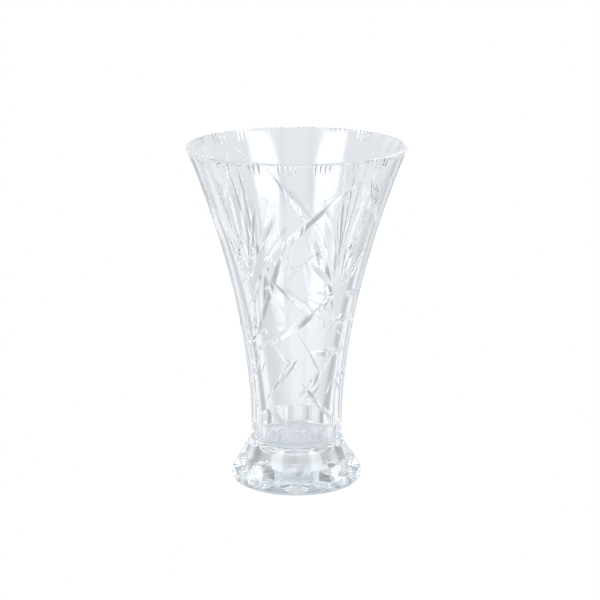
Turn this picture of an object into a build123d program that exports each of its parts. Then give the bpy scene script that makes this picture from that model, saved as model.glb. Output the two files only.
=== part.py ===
"""Cut crystal vase: a flared bowl with mitre cuts, fused on to a heavy foot.

Millimetres, +Z up, origin at the centre of the resting ring. Angles round the vase are in
degrees, counted from the front (-Y) towards +X. The cut design repeats after half a turn.
"""

from build123d import *
from math import cos, radians, sin, tan
import os

# Wall of the bowl
HEIGHT = 250.0
RIM_R = 80.0
WAIST_R = 33.7
WAIST_Z = 46.0
FLARE_POWER = 1.75
RIM_WALL = 3.2
WAIST_WALL = 5.4
LIP_ROUND = 1.3
FLOOR_Z = 30.5
FLOOR_ROUND = 4.5
WALL_POINTS = 9

# Neck and foot
JOINT_Z = 24.0
NECK_CORNER_Z = 30.8
NECK_ROUND = 12.0
FOOT_R = 47.9
FOOT_LEAN = 30.5
EDGE_ROUND = 8.0
SOLE_ROUND = 2.4
RING_INNER_R = 38.0
HOLLOW = 0.5

# Cutting wheels
MITRE_HALF_ANGLE = 64.0
WHEEL_CLEARANCE = 1.2
RUN_OUT = 0.04

# The cut design. A place on the wall is (angle, height);
# a cut is (start, end, width, sag below the straight line)
FAN = [
    ((-46, 162), (-62, 212), 4.0, 0.0),
    ((-45, 160), (-51, 238), 5.0, 0.0),
    ((-43, 166), (-41, 236), 3.4, 0.0),
    ((-42, 157), (-31, 233), 6.0, 0.0),
    ((-40, 163), (-24, 221), 3.0, 0.0),
    ((-39, 160), (-13, 211), 6.0, -2.0),
]
BURST = [
    ((34, 157), (19, 206), 6.5, 0.0),
    ((36, 161), (31, 200), 3.4, 0.0),
    ((39, 157), (41, 235), 6.0, 0.0),
    ((42, 156), (50, 226), 5.4, 0.0),
    ((43, 153), (63, 183), 6.0, 0.0),
    ((42, 149), (78, 143), 7.0, 0.0),
    ((33, 154), (6, 179), 5.0, 0.0),
    ((32, 151), (-1, 151), 3.0, 0.0),
    ((35, 149), (20, 142), 4.0, 0.0),
]
LOW_SPRAY = [
    ((-52, 112), (-69, 121), 5.0, 0.0),
    ((-54, 107), (-74, 105), 5.0, 0.0),
    ((-45, 117), (-11, 126), 4.0, 0.0),
]
LEAVES = [
    ((-20, 161), (20, 133), 5.0, 1.5),
    ((22, 133), (38, 121), 4.0, 2.0),
    ((35, 120), (60, 131), 5.0, 0.5),
    ((56, 132), (80, 119), 4.0, 0.0),
    ((44, 236), (66, 198), 9.4, 0.0),
    ((12, 106), (67, 104), 6.6, 1.0),
    ((1, 71), (38, 99), 5.6, 2.0),
    ((5, 83), (58, 50), 4.4, 4.5),
    ((-38, 67), (3, 103), 3.6, 1.0),
    ((-42, 69), (-10, 50), 4.6, 4.0),
    ((-66, 71), (-48, 55), 4.6, 0.0),
    ((-61, 98), (-50, 78), 3.2, 0.0),
    ((-78, 84), (-60, 72), 3.2, 0.0),
    ((57, 89), (82, 76), 5.0, 0.0),
    ((48, 82), (64, 70), 3.6, 0.0),
    ((-64, 226), (-77, 180), 5.6, 0.0),
]

# Sprigs in the middle field of the front, which aren't repeated
SPRIGS = [
    ((-12, 241), (7, 205), 4.6, 0.0),
    ((8, 197), (18, 172), 4.0, 0.0),
    ((-9, 174), (5, 171), 3.0, 0.0),
]

# Long sweeps, in the same form
SWEEPS = [
    ((-41, 147), (40, 238), 5.6, -4.5),
    ((-51, 110), (-11, 182), 11.0, 1.5),
    ((-51, 104), (37, 150), 5.6, 4.5),
]

SHORT_STATIONS = 5
LONG_STATIONS = 11

# The back is cut more finely than the front
BACK_SHARE = 0.6
HALF_TURN = 180.0

# Nicks round the rim
NICK_GROUPS = 20
NICKS_IN_GROUP = 4
NICK_PITCH = 2.6
NICK_PHASE = -5.0
NICK_LENGTH = 8.5
NICK_WIDTH = 2.2

# Flutes round the neck
FLUTES = 10
FLUTE_LOW_Z = 26.0
FLUTE_HIGH_Z = 45.5
FLUTE_DEPTH = 2.4
FLUTE_WHEEL_R = 80.0
FLUTE_LOW_ROUND = 8.0
FLUTE_HIGH_ROUND = 2.0

# Arches round the foot, with their ends as (radius, height)
ARCHES = 10
ARCH_TOP = (38.4, 23.0)
ARCH_FOOT = (52.5, -3.0)
ARCH_WIDTH = 34.0
ARCH_HALF_ANGLE = 78.0
ARCH_CLEARANCE = 3.0


def outward(angle):
    return Vector(sin(radians(angle)), -cos(radians(angle)), 0)


def outer(z):
    """Radius of the outer wall at height z, from the waist up."""
    rise = max(z - WAIST_Z, 0) / (HEIGHT - WAIST_Z)
    return WAIST_R + (RIM_R - WAIST_R) * rise**FLARE_POWER


def inner(z):
    """Radius of the cavity at height z: the wall thins from the waist to the rim."""
    rise = max(z - WAIST_Z, 0) / (HEIGHT - WAIST_Z)
    return outer(z) - WAIST_WALL + (WAIST_WALL - RIM_WALL) * rise


def side_of_vase():
    """Half the section of the uncut vase, from the lip down to the hollow under the foot."""
    cavity_z = FLOOR_Z + FLOOR_ROUND
    edge_corner_z = NECK_CORNER_Z - (FOOT_R - WAIST_R) / tan(radians(FOOT_LEAN))
    steps = [i / (WALL_POINTS - 1) for i in range(WALL_POINTS)]
    outer_z = [WAIST_Z + (HEIGHT - WAIST_Z) * t for t in steps]
    inner_z = [cavity_z + (HEIGHT - cavity_z) * t for t in steps]
    with BuildSketch(Plane.XZ) as section:
        with BuildLine():
            outside = Spline([(outer(z), z) for z in outer_z])
            inside = Spline([(inner(z), z) for z in inner_z])
            Line(inside @ 1, outside @ 1)
            floor = Line((0, FLOOR_Z), (inner(FLOOR_Z) - FLOOR_ROUND, FLOOR_Z))
            TangentArc(floor @ 1, inside @ 0, tangent=floor % 1)
            skirt = FilletPolyline(
                (WAIST_R, WAIST_Z),
                (WAIST_R, NECK_CORNER_Z),
                (FOOT_R, edge_corner_z),
                (FOOT_R, 0),
                (RING_INNER_R, 0),
                radius=(NECK_ROUND, EDGE_ROUND, SOLE_ROUND),
            )
            hollow = TangentArc((0, HOLLOW), skirt @ 1, tangent=(1, 0))
            Line(hollow @ 0, floor @ 0)
        make_face()
    return section.sketch


def across_wall(start, end, sag=0.0):
    """A path over the outer wall, giving its point and outward normal at t from 0 to 1."""
    step = 0.01

    def at(t):
        out = outward(start[0] + (end[0] - start[0]) * t)
        z = start[1] + (end[1] - start[1]) * t - sag * 4 * t * (1 - t)
        slope = (outer(z + step) - outer(z - step)) / (2 * step)
        return out * outer(z) + Vector(0, 0, z), (out - Vector(0, 0, slope)).normalized()

    return at


def down_foot():
    """A straight path down the front of the foot, from the top of an arch to its foot."""
    out = outward(0)
    top = out * ARCH_TOP[0] + Vector(0, 0, ARCH_TOP[1])
    bottom = out * ARCH_FOOT[0] + Vector(0, 0, ARCH_FOOT[1])
    normal = (out * (top - bottom).Z + Vector(0, 0, ARCH_FOOT[0] - ARCH_TOP[0])).normalized()
    return lambda t: (top + (bottom - top) * t, normal)


def mitre(path, width, stations=SHORT_STATIONS, half_angle=MITRE_HALF_ANGLE, clearance=WHEEL_CLEARANCE):
    """The glass that a V-edged wheel takes out along a path: pointed ends, widest midway."""
    spread = tan(radians(half_angle))
    step = 0.001
    with BuildPart() as cutter:
        for i in range(stations):
            t = (1 + 2 * RUN_OUT) * i / (stations - 1) - RUN_OUT
            here, normal = path(t)
            ahead = (path(t + step)[0] - path(t - step)[0]).normalized()
            depth = width / 2 / spread * 4 * t * (1 - t)
            half_top = (depth + clearance) * spread
            with BuildSketch(Plane(origin=here, x_dir=normal.cross(ahead), z_dir=ahead)):
                with BuildLine():
                    Polyline((0, -depth), (half_top, clearance), (-half_top, clearance), close=True)
                make_face()
        loft()
    return cutter.part


def wall_cuts(share=1.0):
    """Every cut of the repeated design once, with its widths multiplied by share."""
    short = [
        mitre(across_wall(start, end, sag), width * share)
        for start, end, width, sag in FAN + BURST + LOW_SPRAY + LEAVES
    ]
    long = [
        mitre(across_wall(start, end, sag), width * share, LONG_STATIONS)
        for start, end, width, sag in SWEEPS
    ]
    return short + long


def sprigs():
    """The cuts of the front alone."""
    return [mitre(across_wall(start, end, sag), width) for start, end, width, sag in SPRIGS]


def nicks():
    """The short upright cuts of one group, which run out over the rim."""
    middle = (NICKS_IN_GROUP - 1) / 2
    angles = [NICK_PHASE + NICK_PITCH * (i - middle) for i in range(NICKS_IN_GROUP)]
    low, high = HEIGHT - NICK_LENGTH, HEIGHT + NICK_LENGTH
    return [mitre(across_wall((angle, low), (angle, high)), NICK_WIDTH) for angle in angles]


def flute():
    """The disc of glass that one flute of the neck is ground out with, on the front."""
    height = FLUTE_HIGH_Z - FLUTE_LOW_Z
    with BuildPart() as cutter:
        with Locations((0, -(WAIST_R - FLUTE_DEPTH + FLUTE_WHEEL_R), FLUTE_LOW_Z)):
            Cylinder(FLUTE_WHEEL_R, height, align=(Align.CENTER, Align.CENTER, Align.MIN))
        rims = cutter.edges().filter_by(GeomType.CIRCLE).sort_by(Axis.Z)
        fillet(rims[0], FLUTE_LOW_ROUND)
        rims = cutter.edges().filter_by(GeomType.CIRCLE).sort_by(Axis.Z)
        fillet(rims[-1], FLUTE_HIGH_ROUND)
    return cutter.part


# Bowl: the blown part, with the solid neck under its cavity
with BuildPart() as bowl:
    add(side_of_vase())
    revolve(axis=Axis.Z)
    split(bisect_by=Plane.XY.offset(JOINT_Z), keep=Keep.TOP)
    fillet(bowl.edges().group_by(Axis.Z)[-1], LIP_ROUND)
    for cutter in wall_cuts() + sprigs():
        add(cutter, mode=Mode.SUBTRACT)
    for cutter in wall_cuts(BACK_SHARE):
        with Locations(Location((0, 0, 0), (0, 0, HALF_TURN))):
            add(cutter, mode=Mode.SUBTRACT)
    for cutter in nicks():
        with PolarLocations(0, NICK_GROUPS):
            add(cutter, mode=Mode.SUBTRACT)
    with PolarLocations(0, FLUTES):
        add(flute(), mode=Mode.SUBTRACT)
bowl.part.label = "bowl"

# Foot: the solid gather, with arches round its side and a slightly hollow base
with BuildPart() as foot:
    add(side_of_vase())
    revolve(axis=Axis.Z)
    split(bisect_by=Plane.XY.offset(JOINT_Z), keep=Keep.BOTTOM)
    arch = mitre(down_foot(), ARCH_WIDTH, half_angle=ARCH_HALF_ANGLE, clearance=ARCH_CLEARANCE)
    with PolarLocations(0, ARCHES):
        add(arch, mode=Mode.SUBTRACT)
foot.part.label = "foot"

os.makedirs("parts", exist_ok=True)
export_step(bowl.part, "parts/bowl.step")
export_step(foot.part, "parts/foot.step")
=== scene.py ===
"""The cut crystal vase as it looks: clear polished crystal, sharp mitre cuts, pale studio.

Metres, +Z up, origin at the centre of the resting ring. Angles round the vase are in degrees,
counted from the front (-Y) towards +X. The cut design repeats after half a turn, cut finer.
"""

import math

import bmesh
import bpy
import numpy as np
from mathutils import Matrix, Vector, kdtree


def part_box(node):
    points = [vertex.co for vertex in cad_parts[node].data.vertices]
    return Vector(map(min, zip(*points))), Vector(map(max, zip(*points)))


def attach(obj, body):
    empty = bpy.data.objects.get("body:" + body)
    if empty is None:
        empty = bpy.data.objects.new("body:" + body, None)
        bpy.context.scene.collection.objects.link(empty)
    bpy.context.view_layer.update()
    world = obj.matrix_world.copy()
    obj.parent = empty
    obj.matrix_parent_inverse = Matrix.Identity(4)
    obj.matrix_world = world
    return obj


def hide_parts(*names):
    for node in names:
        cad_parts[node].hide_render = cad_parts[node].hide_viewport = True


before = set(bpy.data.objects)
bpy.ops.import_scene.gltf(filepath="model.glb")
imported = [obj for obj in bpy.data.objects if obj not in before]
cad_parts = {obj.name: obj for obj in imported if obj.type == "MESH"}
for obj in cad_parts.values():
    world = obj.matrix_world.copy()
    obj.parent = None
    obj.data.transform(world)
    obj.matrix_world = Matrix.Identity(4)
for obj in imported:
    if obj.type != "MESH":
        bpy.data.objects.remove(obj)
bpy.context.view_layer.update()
BOWL_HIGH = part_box("bowl")[1]
FOOT_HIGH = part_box("foot")[1]

# Sizes taken from the frame
HEIGHT = BOWL_HIGH.z
JOINT_Z = FOOT_HIGH.z
FOOT_R = FOOT_HIGH.x

# Millimetres in a metre
MM = 1000

# Wall of the bowl. The wall's sharp rim is wider than the bowl by what the rounding takes off
LIP_ROUND = 0.0014
LIP_LOSS = 0.0006
RIM_WALL = 0.0032
RIM_R = BOWL_HIGH.x + LIP_LOSS
WAIST_R = 0.0337
WAIST_Z = 0.046
WAIST_WALL = 0.0054
FLARE_POWER = 1.75
FLOOR_Z = 0.0305
FLOOR_ROUND = 0.0045

# Neck and foot
NECK_CORNER_Z = 0.0308
NECK_ROUND = 0.012
FOOT_LEAN = math.radians(30.5)
EDGE_ROUND = 0.008
SOLE_ROUND = 0.0024
RING_INNER_R = 0.038
HOLLOW = 0.0005

# Fineness of the meshes. A cut's facets are smooth where they meet at less than the crease
SEGMENTS = 320
STEP = 0.0022
ARC_STEP = 0.0004
MIN_ARC_STEPS = 6
LOOKUP_STEP = 0.00005
WALL_POINTS = 120
CORNER_POINTS = 12
HOLLOW_POINTS = 40
ON_AXIS = 1e-6
CREASE = math.radians(9)

# How far the straight stretches next to a rounded corner run on
RUN_ON = 0.02

# Cutting wheels. A tool stands proud of the glass by the clearance, and runs out past a cut's ends
MITRE_HALF_ANGLE = 64.0
WHEEL_CLEARANCE = 0.0012
RUN_OUT = 0.04

# The cut design. A place on the wall is (angle, height in mm);
# a cut is (start, end, width in mm, sag in mm below the straight line)
FAN = [
    ((-46, 162), (-62, 212), 4.0, 0.0),
    ((-45, 160), (-51, 238), 5.0, 0.0),
    ((-43, 166), (-41, 236), 3.4, 0.0),
    ((-42, 157), (-31, 233), 6.0, 0.0),
    ((-40, 163), (-24, 221), 3.0, 0.0),
    ((-39, 160), (-13, 211), 6.0, -2.0),
]
BURST = [
    ((34, 157), (19, 206), 6.5, 0.0),
    ((36, 161), (31, 200), 3.4, 0.0),
    ((39, 157), (41, 235), 6.0, 0.0),
    ((42, 156), (50, 226), 5.4, 0.0),
    ((43, 153), (63, 183), 6.0, 0.0),
    ((42, 149), (78, 143), 7.0, 0.0),
    ((33, 154), (6, 179), 5.0, 0.0),
    ((32, 151), (-1, 151), 3.0, 0.0),
    ((35, 149), (20, 142), 4.0, 0.0),
]
LOW_SPRAY = [
    ((-52, 112), (-69, 121), 5.0, 0.0),
    ((-54, 107), (-74, 105), 5.0, 0.0),
    ((-45, 117), (-11, 126), 4.0, 0.0),
]
LEAVES = [
    ((-20, 161), (20, 133), 5.0, 1.5),
    ((22, 133), (38, 121), 4.0, 2.0),
    ((35, 120), (60, 131), 5.0, 0.5),
    ((56, 132), (80, 119), 4.0, 0.0),
    ((44, 236), (66, 198), 9.4, 0.0),
    ((12, 106), (67, 104), 6.6, 1.0),
    ((1, 71), (38, 99), 5.6, 2.0),
    ((5, 83), (58, 50), 4.4, 4.5),
    ((-38, 67), (3, 103), 3.6, 1.0),
    ((-42, 69), (-10, 50), 4.6, 4.0),
    ((-66, 71), (-48, 55), 4.6, 0.0),
    ((-61, 98), (-50, 78), 3.2, 0.0),
    ((-78, 84), (-60, 72), 3.2, 0.0),
    ((57, 89), (82, 76), 5.0, 0.0),
    ((48, 82), (64, 70), 3.6, 0.0),
    ((-64, 226), (-77, 180), 5.6, 0.0),
]

# Sprigs in the middle field of the front, which aren't repeated
SPRIGS = [
    ((-12, 241), (7, 205), 4.6, 0.0),
    ((8, 197), (18, 172), 4.0, 0.0),
    ((-9, 174), (5, 171), 3.0, 0.0),
]

# Long sweeps across the wall, in the same form
SWEEPS = [
    ((-41, 147), (40, 238), 5.6, -4.5),
    ((-51, 110), (-11, 182), 11.0, 1.5),
    ((-51, 104), (37, 150), 5.6, 4.5),
]

# Stations along a short cut and along a sweep, and how full a sweep stays towards its ends
SHORT_STATIONS = 17
LONG_STATIONS = 49
SWEEP_FULLNESS = 0.6

# The back is cut more finely than the front
BACK_SHARE = 0.6

# Nicks round the rim, with their size in mm
NICK_GROUPS = 20
NICKS_IN_GROUP = 4
NICK_PITCH = 2.6
NICK_PHASE = -5.0
NICK_LENGTH = 8.5
NICK_WIDTH = 2.2

# Flutes round the neck, each ground by the stretch of a disc's edge that reaches the glass
FLUTES = 10
FLUTE_LOW_Z = 0.0260
FLUTE_HIGH_Z = 0.0455
FLUTE_DEPTH = 0.0024
FLUTE_WHEEL_R = 0.080
FLUTE_WHEEL_CORE = 0.050
FLUTE_LOW_ROUND = 0.0080
FLUTE_HIGH_ROUND = 0.0020
FLUTE_REACH = 12.0
FLUTE_SLICES = 40

# Arches round the foot, with their ends as (radius, height)
ARCHES = 10
ARCH_TOP = (0.0384, 0.0230)
ARCH_FOOT = (0.0525, -0.0030)
ARCH_WIDTH = 0.034
ARCH_HALF_ANGLE = 78.0
ARCH_CLEARANCE = 0.003


# ---------------------------------------------------------------- outline of the uncut vase


def outer(z):
    """The radius of the outer wall at a height."""
    rise = np.maximum(z - WAIST_Z, 0) / (HEIGHT - WAIST_Z)
    return WAIST_R + (RIM_R - WAIST_R) * rise**FLARE_POWER


def inner(z):
    """The radius of the cavity at a height."""
    rise = np.maximum(z - WAIST_Z, 0) / (HEIGHT - WAIST_Z)
    return outer(z) - WAIST_WALL + (WAIST_WALL - RIM_WALL) * rise


def rounded(points, radii):
    """A polyline through points, with its inner corners rounded to the radii."""
    pts = [np.array(p, float) for p in points]
    out = [pts[0]]
    for before, corner, after, radius in zip(pts, pts[1:], pts[2:], radii):
        u = (before - corner) / np.linalg.norm(before - corner)
        v = (after - corner) / np.linalg.norm(after - corner)
        half = math.acos(np.clip(u @ v, -1, 1)) / 2
        reach = radius / math.tan(half)
        centre = corner + (u + v) / np.linalg.norm(u + v) * radius / math.sin(half)
        first, last = corner + u * reach - centre, corner + v * reach - centre
        sweep = math.pi - 2 * half
        count = max(int(sweep * radius / ARC_STEP), MIN_ARC_STEPS)
        for i in range(count + 1):
            t = i / count
            blend = (math.sin((1 - t) * sweep) * first + math.sin(t * sweep) * last) / math.sin(sweep)
            out.append(centre + blend)
    out.append(pts[-1])
    return np.array(out)


def spaced(points, step):
    """The polyline again, with no gap longer than step."""
    out = [points[0]]
    for a, b in zip(points[:-1], points[1:]):
        count = max(1, math.ceil(np.linalg.norm(b - a) / step))
        out += [a + (b - a) * (i + 1) / count for i in range(count)]
    return np.array(out)


def bowl_outline():
    """Smooth runs of (radius, height) round the bowl's section: joint, then outside to floor."""
    z_up = np.linspace(WAIST_Z, HEIGHT, WALL_POINTS)
    wall_out = np.stack([outer(z_up), z_up], 1)
    z_down = np.linspace(HEIGHT, FLOOR_Z, WALL_POINTS)
    wall_in = np.stack([inner(z_down), z_down], 1)
    lean = math.tan(FOOT_LEAN)
    joint_r = WAIST_R + (NECK_CORNER_Z - JOINT_Z) * lean
    far = (WAIST_R + (NECK_CORNER_Z - JOINT_Z + RUN_ON) * lean, JOINT_Z - RUN_ON)
    neck = rounded([far, (WAIST_R, NECK_CORNER_Z), (WAIST_R, WAIST_Z)], [NECK_ROUND])
    neck = neck[neck[:, 1] > JOINT_Z]
    lip_corners = [wall_out[-CORNER_POINTS], wall_out[-1], wall_in[0], wall_in[CORNER_POINTS]]
    lip = rounded(lip_corners, [LIP_ROUND, LIP_ROUND])
    floor = rounded([wall_in[-CORNER_POINTS], wall_in[-1], (0, FLOOR_Z)], [FLOOR_ROUND])
    cut_out = wall_out[(wall_out[:, 1] < lip[0, 1])]
    cut_in = wall_in[(wall_in[:, 1] < lip[-1, 1]) & (wall_in[:, 1] > floor[0, 1])]
    side = np.concatenate([[(joint_r, JOINT_Z)], neck[:-1], cut_out, lip, cut_in, floor])
    joint = np.array([(0, JOINT_Z), (joint_r, JOINT_Z)])
    return {"joint": joint, "side": side}


def foot_outline():
    """Smooth runs of (radius, height) round the foot's section: underside, then side to joint."""
    lean = math.tan(FOOT_LEAN)
    joint_r = WAIST_R + (NECK_CORNER_Z - JOINT_Z) * lean
    edge_z = NECK_CORNER_Z - (FOOT_R - WAIST_R) / lean
    r = np.linspace(0, RING_INNER_R, HOLLOW_POINTS)
    hollow = np.stack([r, HOLLOW * (1 - (r / RING_INNER_R) ** 2)], 1)
    ring = np.array([(RING_INNER_R, 0), (FOOT_R - SOLE_ROUND, 0)])
    corners = [ring[0], (FOOT_R, 0), (FOOT_R, edge_z), (WAIST_R, NECK_CORNER_Z), (WAIST_R, WAIST_Z)]
    skirt = rounded(corners, [SOLE_ROUND, EDGE_ROUND, NECK_ROUND])[1:]
    skirt = np.concatenate([skirt[skirt[:, 1] < JOINT_Z], [(joint_r, JOINT_Z)]])
    joint = np.array([(joint_r, JOINT_Z), (0, JOINT_Z)])
    return {"hollow": hollow, "ring": ring, "side": skirt, "joint": joint}


# ---------------------------------------------------------------- mesh tools


def marker(name):
    """The placeholder material that marks a kind of surface through the booleans."""
    return bpy.data.materials.get(name) or bpy.data.materials.new(name)


def make_object(name, verts, faces, slots, face_slot):
    """A mesh object with a marker for each slot, and each face in its slot."""
    mesh = bpy.data.meshes.new(name)
    mesh.from_pydata([tuple(v) for v in verts], [], faces)
    for slot in slots:
        mesh.materials.append(marker(slot))
    mesh.polygons.foreach_set("material_index", np.array(face_slot, np.int32))
    mesh.update()
    made = bpy.data.objects.new(name, mesh)
    bpy.context.scene.collection.objects.link(made)
    return made


def spin(name, runs):
    """The closed solid of revolution whose section is the runs, one marker slot for each run."""
    slots = list(runs)
    outline, run_of = [], []
    for i, run in enumerate(runs.values()):
        points = spaced(run, STEP) if slots[i] == "side" else run
        outline += list(points[:-1])
        run_of += [i] * (len(points) - 1)
    outline.append(list(runs.values())[-1][-1])
    turn = np.arange(SEGMENTS) * 2 * math.pi / SEGMENTS
    verts, ring_start = [], []
    for r, z in outline:
        ring_start.append(len(verts))
        if r < ON_AXIS:
            verts.append((0, 0, z))
        else:
            verts += [(r * math.sin(a), -r * math.cos(a), z) for a in turn]
    faces, face_slot = [], []
    for i, (low, high) in enumerate(zip(ring_start[:-1], ring_start[1:])):
        pole_low, pole_high = outline[i][0] < ON_AXIS, outline[i + 1][0] < ON_AXIS
        for j in range(SEGMENTS):
            k = (j + 1) % SEGMENTS
            if pole_low:
                faces.append((low, high + k, high + j))
            elif pole_high:
                faces.append((low + j, low + k, high))
            else:
                faces.append((low + j, low + k, high + k, high + j))
            face_slot.append(run_of[i])
    return make_object(name, verts, faces, slots, face_slot)


def outward(angle):
    """The level unit vector away from the axis at an angle round the vase."""
    a = math.radians(angle)
    return np.array([math.sin(a), -math.cos(a), 0.0])


UP = np.array([0.0, 0.0, 1.0])


def across_wall(start, end, sag=0.0):
    """A path over the outer wall, giving its point and outward normal at t from 0 to 1."""
    step = 1e-5

    def at(t):
        out = outward(start[0] + (end[0] - start[0]) * t)
        z = (start[1] + (end[1] - start[1]) * t - sag * 4 * t * (1 - t)) / MM
        slope = (outer(z + step) - outer(z - step)) / (2 * step)
        normal = out - UP * slope
        return out * outer(z) + UP * z, normal / np.linalg.norm(normal)

    return at


def down_foot(angle):
    """A straight path down the side of the foot, from the top of an arch to its foot."""
    out = outward(angle)
    top = out * ARCH_TOP[0] + UP * ARCH_TOP[1]
    bottom = out * ARCH_FOOT[0] + UP * ARCH_FOOT[1]
    normal = out * (ARCH_TOP[1] - ARCH_FOOT[1]) + UP * (ARCH_FOOT[0] - ARCH_TOP[0])
    normal = normal / np.linalg.norm(normal)
    return lambda t: (top + (bottom - top) * t, normal)


def groove(path, width, stations=SHORT_STATIONS, half_angle=MITRE_HALF_ANGLE,
           clearance=WHEEL_CLEARANCE, fullness=1.0):
    """Verts and faces of the glass a V-edged wheel takes out along a path: widest midway.

    A fullness under 1 keeps the cut near its full width for longer."""
    spread = math.tan(math.radians(half_angle))
    step = 1e-3
    verts = []
    for i in range(stations):
        t = (1 + 2 * RUN_OUT) * i / (stations - 1) - RUN_OUT
        here, normal = path(t)
        ahead = path(t + step)[0] - path(t - step)[0]
        across = np.cross(ahead, normal)
        across = across / np.linalg.norm(across)
        hump = 4 * t * (1 - t)
        depth = width / 2 / spread * math.copysign(abs(hump) ** fullness, hump)
        half_top = (depth + clearance) * spread
        verts.append(here - normal * depth)
        verts.append(here + normal * clearance + across * half_top)
        verts.append(here + normal * clearance - across * half_top)
    faces = [(0, 1, 2), tuple(3 * (stations - 1) + k for k in (2, 1, 0))]
    for i in range(stations - 1):
        a, b = 3 * i, 3 * i + 3
        for k in range(3):
            m = (k + 1) % 3
            faces.append((a + k, b + k, b + m, a + m))
    return np.array(verts), faces


def wheel_disc(angle):
    """A disc-shaped wheel on an upright axis, with its edges rounded, that grinds one flute."""
    axis = outward(angle) * (WAIST_R - FLUTE_DEPTH + FLUTE_WHEEL_R)
    edge = rounded([(FLUTE_WHEEL_CORE, FLUTE_LOW_Z), (FLUTE_WHEEL_R, FLUTE_LOW_Z),
                    (FLUTE_WHEEL_R, FLUTE_HIGH_Z), (FLUTE_WHEEL_CORE, FLUTE_HIGH_Z)],
                   [FLUTE_LOW_ROUND, FLUTE_HIGH_ROUND])
    edge = spaced(edge, STEP)
    count = FLUTE_SLICES
    first = angle + 180 - FLUTE_REACH
    turns = [math.radians(first + 2 * FLUTE_REACH * i / count) for i in range(count + 1)]
    rows = len(edge)
    verts = [axis + np.array([r * math.sin(a), -r * math.cos(a), z]) for a in turns for r, z in edge]
    faces = []
    for i in range(count):
        for j in range(rows):
            k = (j + 1) % rows
            faces.append((i * rows + j, (i + 1) * rows + j, (i + 1) * rows + k, i * rows + k))
    faces.append(tuple(range(rows)))
    faces.append(tuple(count * rows + j for j in reversed(range(rows))))
    return np.array(verts), faces


def tool(name, solids):
    """One object out of several closed solids that don't touch."""
    verts, faces = [], []
    for v, f in solids:
        base = len(verts)
        verts += list(v)
        faces += [tuple(base + k for k in face) for face in f]
    made = make_object(name, verts, faces, ["cut"], [0] * len(faces))
    bm = bmesh.new()
    bm.from_mesh(made.data)
    bmesh.ops.recalc_face_normals(bm, faces=bm.faces)
    bm.to_mesh(made.data)
    bm.free()
    return made


def boolean(base, other, operation):
    """Applies one boolean to base and removes the other object."""
    modifier = base.modifiers.new("boolean", "BOOLEAN")
    modifier.operation = operation
    modifier.solver = "MANIFOLD"
    modifier.material_mode = "TRANSFER"
    modifier.object = other
    depsgraph = bpy.context.evaluated_depsgraph_get()
    mesh = bpy.data.meshes.new_from_object(base.evaluated_get(depsgraph))
    base.modifiers.clear()
    base.data = mesh
    bpy.data.objects.remove(other)


def cut(blank, groups):
    """Unites the groups of tools into one, then takes it out of the blank."""
    tools = [tool("tool", group) for group in groups]
    first = tools[0]
    for other in tools[1:]:
        boolean(first, other, "UNION")
    boolean(blank, first, "DIFFERENCE")


def halves(path, width, stations=SHORT_STATIONS, fullness=1.0):
    """One cut at the front, and its finer copy half a turn round."""
    front = groove(path, width, stations, fullness=fullness)
    verts, faces = groove(path, width * BACK_SHARE, stations, fullness=fullness)
    return [front, (verts * np.array([-1, -1, 1]), faces)]


# ---------------------------------------------------------------- the two pieces


def mark_creases(mesh):
    """Smooth faces, with sharp edges round each kind of surface and between a cut's facets."""
    names = [m.name for m in mesh.materials]
    bm = bmesh.new()
    bm.from_mesh(mesh)
    for face in bm.faces:
        face.smooth = True
    for edge in bm.edges:
        pair = edge.link_faces
        if len(pair) != 2 or pair[0].material_index != pair[1].material_index:
            edge.smooth = False
        elif names[pair[0].material_index] == "cut" and edge.calc_face_angle(0) > CREASE:
            edge.smooth = False
    bm.to_mesh(mesh)
    bm.free()


def read(items, attribute, kind, width=1):
    """One attribute of all the items of a mesh, in a flat array or in rows of the width."""
    values = np.zeros(len(items) * width, kind)
    items.foreach_get(attribute, values)
    return values.reshape(-1, width) if width > 1 else values


def set_exact_normals(mesh, runs):
    """Gives the uncut surfaces the outline's own normals, and leaves those of the cuts."""
    names = [m.name for m in mesh.materials]
    normals = read(mesh.corner_normals, "vector", np.float32, 3)
    co = read(mesh.vertices, "co", np.float32, 3)
    loop_vert = read(mesh.loops, "vertex_index", np.int32)
    slot = read(mesh.polygons, "material_index", np.int32)
    loop_slot = np.repeat(slot, read(mesh.polygons, "loop_total", np.int32))
    for name, run in runs.items():
        dense = spaced(run, LOOKUP_STEP)
        along = np.gradient(dense, axis=0)
        across = np.stack([along[:, 1], -along[:, 0]], 1)
        across /= np.linalg.norm(across, axis=1)[:, None]
        tree = kdtree.KDTree(len(dense))
        for i, (r, z) in enumerate(dense):
            tree.insert((r, z, 0), i)
        tree.balance()
        loops = np.nonzero(loop_slot == names.index(name))[0]
        exact = np.zeros_like(co)
        for vert in np.unique(loop_vert[loops]):
            x, y, z = co[vert]
            r = math.hypot(x, y)
            found = tree.find((r, z, 0))[1]
            nr, nz = across[found]
            exact[vert] = (x / r * nr, y / r * nr, nz) if r > ON_AXIS else (0, 0, math.copysign(1, nz))
        normals[loops] = exact[loop_vert[loops]]
    mesh.normals_split_custom_set([tuple(n) for n in normals])


def wall_tools():
    """Every cut of the design, all but the sprigs with a copy half a turn round."""
    groups = [[groove(across_wall(start, end, sag), width / MM)] for start, end, width, sag in SPRIGS]
    for start, end, width, sag in FAN + BURST + LOW_SPRAY + LEAVES:
        groups.append(halves(across_wall(start, end, sag), width / MM))
    for start, end, width, sag in SWEEPS:
        groups.append(halves(across_wall(start, end, sag), width / MM, LONG_STATIONS, SWEEP_FULLNESS))
    return groups


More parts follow.
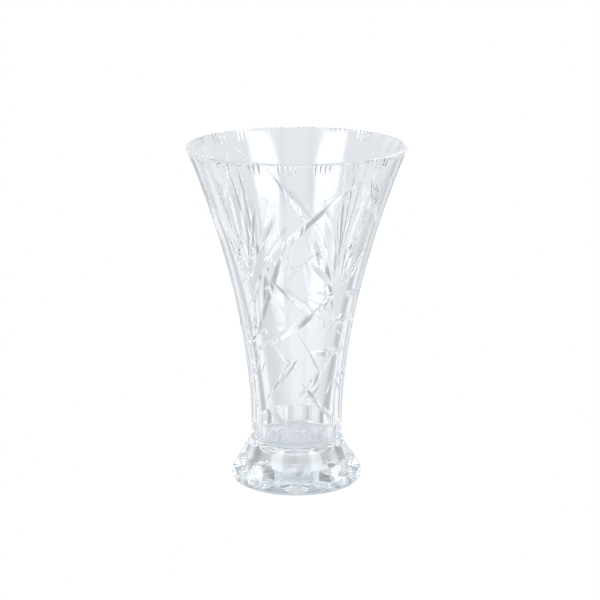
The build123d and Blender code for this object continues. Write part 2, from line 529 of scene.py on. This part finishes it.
def nick_tools():
    """The short upright cuts all round, which run out over the rim."""
    low, high = HEIGHT * MM - NICK_LENGTH, HEIGHT * MM + NICK_LENGTH
    nicks = []
    for group in range(NICK_GROUPS):
        for i in range(NICKS_IN_GROUP):
            angle = NICK_PHASE + group * 360 / NICK_GROUPS + NICK_PITCH * (i - (NICKS_IN_GROUP - 1) / 2)
            nicks.append(groove(across_wall((angle, low), (angle, high)), NICK_WIDTH / MM))
    return [nicks]


def every(count, make):
    """The solids made at count equal angles, in two groups so that neighbours are apart."""
    solids = [make(360 * i / count) for i in range(count)]
    return [solids[0::2], solids[1::2]]


def make_bowl():
    """The blown bowl, with its wall, rim and neck cut."""
    runs = bowl_outline()
    bowl = spin("bowl_glass", runs)
    cut(bowl, wall_tools())
    cut(bowl, nick_tools())
    cut(bowl, every(FLUTES, wheel_disc))
    mark_creases(bowl.data)
    set_exact_normals(bowl.data, runs)
    return bowl


def make_foot():
    """The solid foot, with its ring of pointed arches."""
    runs = foot_outline()
    foot = spin("foot_glass", runs)

    def arch(angle):
        return groove(down_foot(angle), ARCH_WIDTH, half_angle=ARCH_HALF_ANGLE, clearance=ARCH_CLEARANCE)

    cut(foot, every(ARCHES, arch))
    mark_creases(foot.data)
    set_exact_normals(foot.data, runs)
    return foot


# ---------------------------------------------------------------- materials

WHITE = (1.0, 1.0, 1.0, 1.0)
CRYSTAL_IOR = 1.545
# The glass's colour along a short path and along a very long one, and how fast it changes, per metre
THIN_TINT = (0.995, 0.998, 1.0, 1.0)
DEEP_TINT = (0.0, 0.15, 0.22, 1.0)
ABSORPTION = 10.0
# Waviness of the surface, and haze of the polish, which sets in between two levels of its noise.
# The scales are per metre
WAVE_SCALE = 45.0
WAVE_HEIGHT = 0.001
HAZE_SCALE = 900.0
HAZE_FROM = 0.4
HAZE_TO = 0.8

# Sockets of the mix node, whose names repeat: A, B and result for numbers and for colours
NUMBER_A, NUMBER_B, NUMBER_RESULT = 2, 3, 0
COLOUR_A, COLOUR_B, COLOUR_RESULT = 6, 7, 2


def node(tree, kind, inputs=(), **settings):
    """A node with its settings, and its inputs set to values or linked to sockets."""
    made = tree.nodes.new(kind)
    for key, value in settings.items():
        setattr(made, key, value)
    for key, value in dict(inputs).items():
        if isinstance(value, bpy.types.NodeSocket):
            tree.links.new(value, made.inputs[key])
        else:
            made.inputs[key].default_value = value
    return made


def new_material(name):
    """A material with an empty node tree, and that tree."""
    material = bpy.data.materials.new(name)
    material.use_nodes = True
    material.node_tree.nodes.clear()
    return material, material.node_tree


def math_node(tree, operation, *values):
    """The result of one arithmetic operation on numbers or sockets."""
    return node(tree, "ShaderNodeMath", enumerate(values), operation=operation).outputs[0]


def crystal(name, waves, rough):
    """Clear crystal that darkens, slightly blue-green, along a path inside it."""
    material, tree = new_material(name)
    inside = node(tree, "ShaderNodeNewGeometry").outputs["Backfacing"]
    length = node(tree, "ShaderNodeLightPath").outputs["Ray Length"]
    path = math_node(tree, "MULTIPLY", inside, length)
    kept = math_node(tree, "EXPONENT", math_node(tree, "MULTIPLY", path, -ABSORPTION))
    blend = {0: kept, COLOUR_A: DEEP_TINT, COLOUR_B: THIN_TINT}
    tint = node(tree, "ShaderNodeMix", blend, data_type="RGBA").outputs[COLOUR_RESULT]
    place = node(tree, "ShaderNodeTexCoord").outputs["Object"]
    ripple = node(tree, "ShaderNodeTexNoise", {"Vector": place, "Scale": WAVE_SCALE, "Detail": 1.0})
    bump = node(tree, "ShaderNodeBump", {
        "Height": ripple.outputs["Fac"], "Strength": waves, "Distance": WAVE_HEIGHT})
    haze = node(tree, "ShaderNodeTexNoise", {"Vector": place, "Scale": HAZE_SCALE, "Detail": 3.0})
    polish = node(tree, "ShaderNodeMapRange", {
        "Value": haze.outputs["Fac"], "From Min": HAZE_FROM, "From Max": HAZE_TO,
        "To Min": 0.0, "To Max": rough})
    glass = node(tree, "ShaderNodeBsdfPrincipled", {
        "Base Color": tint, "Specular Tint": tint, "Roughness": polish.outputs["Result"],
        "IOR": CRYSTAL_IOR, "Transmission Weight": 1.0, "Normal": bump.outputs["Normal"]})
    node(tree, "ShaderNodeOutputMaterial", {"Surface": glass.outputs["BSDF"]})
    return material


def fused(name):
    """The plane inside the glass where the two pieces are fused: nothing of it shows."""
    material, tree = new_material(name)
    clear = node(tree, "ShaderNodeBsdfTransparent", {"Color": WHITE})
    node(tree, "ShaderNodeOutputMaterial", {"Surface": clear.outputs["BSDF"]})
    return material


bowl = make_bowl()
foot = make_foot()
looks = {
    "side": crystal("crystal_wall", waves=0.02, rough=0.004),
    "hollow": crystal("crystal_under_foot", waves=0.02, rough=0.01),
    "ring": crystal("crystal_resting_ring", waves=0.02, rough=0.06),
    "cut": crystal("crystal_cut", waves=0.0, rough=0.008),
    "joint": fused("crystal_joint"),
}
for piece, slot_name, stands_for in ((bowl, "bowl_crystal", "bowl"), (foot, "foot_crystal", "foot")):
    for i, material in enumerate(list(piece.data.materials)):
        piece.data.materials[i] = looks[material.name]
    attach(piece, "root")
    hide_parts(stands_for)


# ---------------------------------------------------------------- studio

# What the glass sees of the studio. Tone by azimuth in degrees, 0 straight behind the vase
ROUND_ABOUT = [
    (-180, 0.86), (-168, 0.84), (-161, 0.48), (-154, 0.92), (-130, 0.84), (-112, 0.66), (-103, 0.94),
    (-90, 0.88), (-76, 0.94), (-69, 0.72), (-60, 1.00), (-50, 0.50), (-42, 0.95), (-33, 0.92),
    (-28, 0.40), (-23, 0.42), (-18.5, 0.88), (-15, 0.92), (-11, 0.66), (-6, 0.70), (-2, 0.84),
    (1, 0.86), (6, 0.85), (10, 0.76), (15, 0.66), (19, 0.40), (23, 0.50), (27, 0.95), (32, 1.00),
    (37, 0.45), (44, 0.60), (54, 1.00), (69, 0.72), (76, 0.94), (90, 0.88), (103, 0.94), (112, 0.66),
    (130, 0.84), (154, 0.92), (161, 0.48), (168, 0.84), (180, 0.86),
]
# Tone by elevation in degrees, over the horizon
OVERHEAD = [(0, 1.0), (6, 1.05), (12, 0.95), (20, 0.80), (28, 0.95), (45, 1.20), (70, 1.25), (90, 1.1)]
# Painted light and shade on the glowing floor by distance from the vase in metres: painted shade next to
# the vase, brighter painted light further out
PAINTED_FLOOR_LIGHT = [(0.0, 0.85), (0.09, 0.95), (0.18, 1.10), (0.34, 1.10), (0.50, 1.03), (1.2, 1.0)]
# How far the floor's painted bars of light and shade by azimuth are evened out, by distance, and the tone
# they even out to
EVENED = [(0.0, 1.0), (0.07, 1.0), (0.15, 0.0), (0.88, 0.0), (1.0, 1.0), (1.2, 1.0)]
EVEN_TONE = 0.82
# The bars are softer in the world than the painted bars on the floor, and both are slightly blue
WORLD_CONTRAST = 0.7
PALE = (0.955, 0.990, 1.03, 1.0)
FLOOR_HALF_SIDE = 6.0
FLOOR_GAP = 0.0002

# Softboxes: degrees, metres, and the share of each side over which the edges fade
SOFTBOX_AZIMUTHS = {"left": -45, "right": 44}
SOFTBOX_ELEVATION = 19.0
SOFTBOX_WIDTH = 1.15
SOFTBOX_HEIGHT = 1.1
SOFT_SIDE = 0.18
SOFT_END = 0.06
# Each side has one that only the surface reflects, and one that also shows through the glass.
# A softbox is (name, distance, radiance, shows through the glass)
SOFTBOXES = [("softbox_", 1.6, 1.6, False), ("softbox_soft_", 1.7, 2.6, True)]

# Camera: in front of the vase and looking down, with a long lens in millimetres
CAMERA_PLACE = (0, -1.337, 0.4824)
CAMERA_DIP = 14.572
SENSOR_WIDTH = 36.0
LENS = 113.2
SHIFT = 0.0057


def tone(tree, value, low, high, stops):
    """A soft run of greys over a value from low to high."""
    place = node(tree, "ShaderNodeMapRange", {"Value": value, "From Min": low, "From Max": high})
    ramp = node(tree, "ShaderNodeFloatCurve", {"Value": place.outputs[0]})
    curve = ramp.mapping.curves[0]
    top = max(level for _, level in stops)
    while len(curve.points) < len(stops):
        curve.points.new(0.5, 0.5)
    for point, (at, level) in zip(curve.points, stops):
        point.location = ((at - low) / (high - low), level / top)
        point.handle_type = "AUTO_CLAMPED"
    ramp.mapping.update()
    return math_node(tree, "MULTIPLY", ramp.outputs[0], top)


def in_degrees(tree, radians):
    """An angle's value turned from radians into degrees."""
    return math_node(tree, "MULTIPLY", radians, 180 / math.pi)


def azimuth_tone(tree, split):
    """The tone round about, in the direction whose parts are split into X, Y and Z."""
    angle = math_node(tree, "ARCTAN2", split.outputs["X"], split.outputs["Y"])
    return tone(tree, in_degrees(tree, angle), -180, 180, ROUND_ABOUT)


def white_to_camera(tree, kind, level):
    """A shader that is plain white to the camera and toned to the glass; on the floor the toned glow is
    painted light and shade.
    """
    seen = node(tree, "ShaderNodeLightPath").outputs["Is Camera Ray"]
    white = node(tree, kind, {"Color": WHITE, "Strength": 1.0})
    toned = node(tree, kind, {"Color": PALE, "Strength": level})
    return node(tree, "ShaderNodeMixShader", {"Fac": seen, 1: toned.outputs[0], 2: white.outputs[0]})


def make_floor():
    """A floor that is plain white to the camera, and glows to the glass with painted light and shade:
    painted bars by azimuth and painted shade next to the vase.
    """
    size = FLOOR_HALF_SIDE
    mesh = bpy.data.meshes.new("studio_floor")
    corners = [(-size, -size, 0), (size, -size, 0), (size, size, 0), (-size, size, 0)]
    mesh.from_pydata(corners, [], [(0, 1, 2, 3)])
    floor = bpy.data.objects.new("studio_floor", mesh)
    bpy.context.scene.collection.objects.link(floor)
    material, tree = new_material("studio_floor_white_and_painted_light")
    place = node(tree, "ShaderNodeNewGeometry").outputs["Position"]
    split = node(tree, "ShaderNodeSeparateXYZ", {"Vector": place})
    far = node(tree, "ShaderNodeVectorMath", {0: place}, operation="LENGTH").outputs["Value"]
    # Painted bars of light and shade by azimuth, evened out with distance from the vase
    share = tone(tree, far, 0, EVENED[-1][0], EVENED)
    blend = {0: share, NUMBER_A: azimuth_tone(tree, split), NUMBER_B: EVEN_TONE}
    evened = node(tree, "ShaderNodeMix", blend).outputs[NUMBER_RESULT]
    # Painted shade next to the vase and brighter painted light further out, seen only through the glass
    near = tone(tree, far, 0, PAINTED_FLOOR_LIGHT[-1][0], PAINTED_FLOOR_LIGHT)
    mix = white_to_camera(tree, "ShaderNodeEmission", math_node(tree, "MULTIPLY", evened, near))
    node(tree, "ShaderNodeOutputMaterial", {"Surface": mix.outputs[0]})
    mesh.materials.append(material)
    floor.location.z = -FLOOR_GAP


def make_world():
    """A surround that is plain white to the camera, and toned by azimuth and elevation to the glass."""
    world = bpy.data.worlds.new("studio")
    bpy.context.scene.world = world
    world.use_nodes = True
    tree = world.node_tree
    tree.nodes.clear()
    place = node(tree, "ShaderNodeTexCoord").outputs["Generated"]
    split = node(tree, "ShaderNodeSeparateXYZ", {"Vector": place})
    rise = math_node(tree, "ARCSINE", split.outputs["Z"])
    round_about = math_node(tree, "POWER", azimuth_tone(tree, split), WORLD_CONTRAST)
    overhead = tone(tree, in_degrees(tree, rise), 0, 90, OVERHEAD)
    mix = white_to_camera(tree, "ShaderNodeBackground", math_node(tree, "MULTIPLY", round_about, overhead))
    node(tree, "ShaderNodeOutputWorld", {"Surface": mix.outputs[0]})


def soften(light):
    """Fades an area light out towards its edges."""
    light.use_nodes = True
    tree = light.node_tree
    tree.nodes.clear()
    spot = node(tree, "ShaderNodeNewGeometry").outputs["Parametric"]
    split = node(tree, "ShaderNodeSeparateXYZ", {"Vector": spot})
    fades = []
    for socket, edge in (("X", SOFT_SIDE), ("Y", SOFT_END)):
        off = math_node(tree, "ABSOLUTE", math_node(tree, "SUBTRACT", split.outputs[socket], 0.5))
        fade = node(tree, "ShaderNodeMapRange", {"Value": off, "From Min": 0.5, "From Max": 0.5 - edge},
                    interpolation_type="SMOOTHSTEP")
        fades.append(fade.outputs[0])
    glow = node(tree, "ShaderNodeEmission", {"Strength": math_node(tree, "MULTIPLY", *fades)})
    node(tree, "ShaderNodeOutputLight", {"Surface": glow.outputs[0]})


def softbox(name, azimuth, distance, radiance, through_glass):
    """A rectangular area light facing the vase."""
    a, e = math.radians(azimuth), math.radians(SOFTBOX_ELEVATION)
    away = np.array([math.sin(a) * math.cos(e), -math.cos(a) * math.cos(e), math.sin(e)])
    light = bpy.data.lights.new(name, "AREA")
    light.shape = "RECTANGLE"
    light.size = SOFTBOX_WIDTH
    light.size_y = SOFTBOX_HEIGHT
    light.energy = radiance * math.pi * SOFTBOX_WIDTH * SOFTBOX_HEIGHT
    lamp = bpy.data.objects.new(name, light)
    bpy.context.scene.collection.objects.link(lamp)
    lamp.location = (0, 0, HEIGHT / 2) + away * distance
    lamp.rotation_euler = Vector(away).to_track_quat("Z", "Y").to_euler()
    lamp.visible_camera = False
    lamp.visible_transmission = through_glass
    soften(light)


def make_camera():
    """The scene's camera."""
    data = bpy.data.cameras.new("camera")
    camera = bpy.data.objects.new("camera", data)
    bpy.context.scene.collection.objects.link(camera)
    camera.location = CAMERA_PLACE
    camera.rotation_euler = (math.radians(90 - CAMERA_DIP), 0, 0)
    data.sensor_width = SENSOR_WIDTH
    data.lens = LENS
    data.shift_x = SHIFT
    bpy.context.scene.camera = camera


make_floor()
make_world()
for side, azimuth in SOFTBOX_AZIMUTHS.items():
    for name, distance, radiance, through_glass in SOFTBOXES:
        softbox(name + side, azimuth, distance, radiance, through_glass)
make_camera()

# Many bounces, because light turns round many times inside cut crystal
scene = bpy.context.scene
scene.view_settings.view_transform = "Standard"
scene.cycles.max_bounces = 64
scene.cycles.transmission_bounces = 64
scene.cycles.glossy_bounces = 48
scene.cycles.transparent_max_bounces = 16
scene.cycles.use_denoising = True
